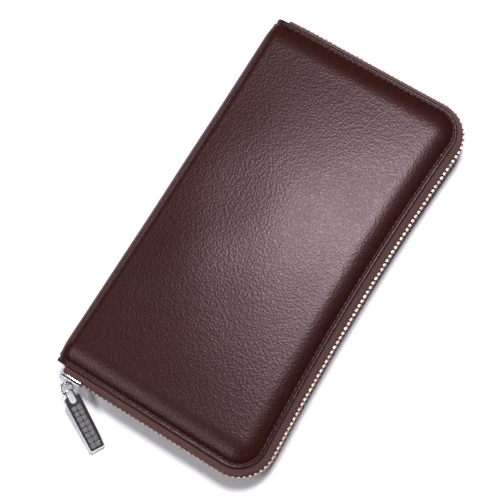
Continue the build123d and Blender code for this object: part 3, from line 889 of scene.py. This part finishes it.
def makeInlay():
    # the tiles lie in the plane of the inlay's CAD solid, found from its corners and the tab's pin
    t = tileShape
    pin = next(joint for joint in frame["record"]["behaviour"]["joints"] if joint["name"] == "tab_turn")
    across = -Vector(pin["axis"]).normalized()
    corners = [v.co.copy() for v in frame["nodes"]["pull_inlay"].data.vertices]
    middle = sum(corners, Vector()) / len(corners)
    along = max((c - middle for c in corners), key=lambda v: (v - across * v.dot(across)).length)
    along = (along - across * along.dot(across)).normalized()
    along *= 1 if (middle - Vector(pin["pos_m"])).dot(along) > 0 else -1
    normal = along.cross(across)
    halves = [max(abs((c - middle).dot(axis)) for c in corners) for axis in (along, across, normal)]
    cell = (2 * halves[0] / t["rows"], 2 * halves[1] / t["columns"])
    route = []
    for row in range(t["rows"]):
        for column in range(t["columns"]):
            x = -halves[0] + cell[0] * (row + 0.5)
            route.append((x, -halves[1] + cell[1] * (column + 0.5), halves[2] + t["proud"] - t["deep"] / 2))
    size = (cell[0] - t["gap"], cell[1] - t["gap"], t["deep"])
    values = {"Tile": size, "Seed": t["seed"], "Surface": finish["inlay"]}
    tiles = runTree("pullTiles", [route], tileTree(), values)
    turned = Matrix((along, across, normal)).transposed().to_4x4()
    tiles.data.transform(Matrix.Translation(middle) @ turned)
    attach(tiles, "tab")


paint("pull_inlay", finish["inlayGround"])
makeInlay()
print("inlay tiles made")


# Floor, light and camera
studio = {
    "floorHalf": 4.0,
    "floorDrop": 0.2 * mm,     # keeps the floor clear of the back cover
    "paper": (0.93, 0.94, 0.97, 1),
    "sky": (0.8, 0.9, 1.0, 1),
    "skyStrength": 0.075,
}
softboxes = {
    "mainSoftbox": {"place": (-0.015, 0.24, 0.93), "target": (0.01, 0.03, 0.02), "size": (0.2, 0.22),
                    "power": 10.5, "color": (1.0, 0.95, 0.98)},
    "fillLeft": {"place": (-0.95, 0.12, 0.36), "target": (0, 0, 0), "size": (0.5, 0.25),
                 "power": 2.6, "color": (0.95, 0.97, 1.0)},
    "fillFront": {"place": (-0.2, -0.52, 0.84), "target": (0, -0.05, 0), "size": (0.5, 0.16),
                  "power": 3.3, "color": (1.0, 0.97, 0.99)},
}


def floor():
    half = studio["floorHalf"]
    mesh = bpy.data.meshes.new("floor")
    corners = [(-half, -half, 0), (half, -half, 0), (half, half, 0), (-half, half, 0)]
    mesh.from_pydata(corners, [], [(0, 1, 2, 3)])
    material, tree, shader = nodeTree("floorPaper")
    shader.inputs["Base Color"].default_value = studio["paper"]
    shader.inputs["Roughness"].default_value = 0.7
    obj = newObject("floor", mesh, material)
    obj.location.z = -studio["floorDrop"]


def softbox(name, values):
    light = bpy.data.lights.new(name, "AREA")
    light.shape = "RECTANGLE"
    light.size, light.size_y = values["size"]
    light.energy = values["power"]
    light.color = values["color"]
    obj = bpy.data.objects.new(name, light)
    bpy.context.scene.collection.objects.link(obj)
    obj.location = values["place"]
    aim = Vector(values["target"]) - Vector(values["place"])
    obj.rotation_euler = aim.to_track_quat("-Z", "Y").to_euler()


def sky():
    world = bpy.data.worlds.new("studio")
    world.use_nodes = True
    background = world.node_tree.nodes["Background"]
    background.inputs["Color"].default_value = studio["sky"]
    background.inputs["Strength"].default_value = studio["skyStrength"]
    bpy.context.scene.world = world
    bpy.context.scene.view_settings.view_transform = "Standard"


floor()
for name, values in softboxes.items():
    softbox(name, values)
sky()

view = {    # angles in degrees, lengths in metres, lens in millimetres
    "azimuth": 48.6,
    "elevation": 75.7,
    "roll": -17.2,
    "distance": 0.588,
    "aim": (-0.00372, -0.00666),
    "lens": 89.928,
    "sensor": 36,
}


def camera():
    az, el, roll = (math.radians(view[key]) for key in ("azimuth", "elevation", "roll"))
    back = Vector((math.sin(az) * math.cos(el), -math.cos(az) * math.cos(el), math.sin(el)))
    right = Vector((0, 0, 1)).cross(back).normalized()
    up = back.cross(right)
    turnedRight = right * math.cos(roll) + up * math.sin(roll)
    turnedUp = up * math.cos(roll) - right * math.sin(roll)
    data = bpy.data.cameras.new("camera")
    data.sensor_width = view["sensor"]
    data.lens = view["lens"]
    data.clip_start = 0.01
    obj = bpy.data.objects.new("camera", data)
    bpy.context.scene.collection.objects.link(obj)
    place = Vector((*view["aim"], wallet["midZ"])) + back * view["distance"]
    basis = Matrix((turnedRight, turnedUp, back)).transposed().to_4x4()
    basis.translation = place
    obj.matrix_world = basis
    bpy.context.scene.camera = obj


camera()
print("scene lit and framed")
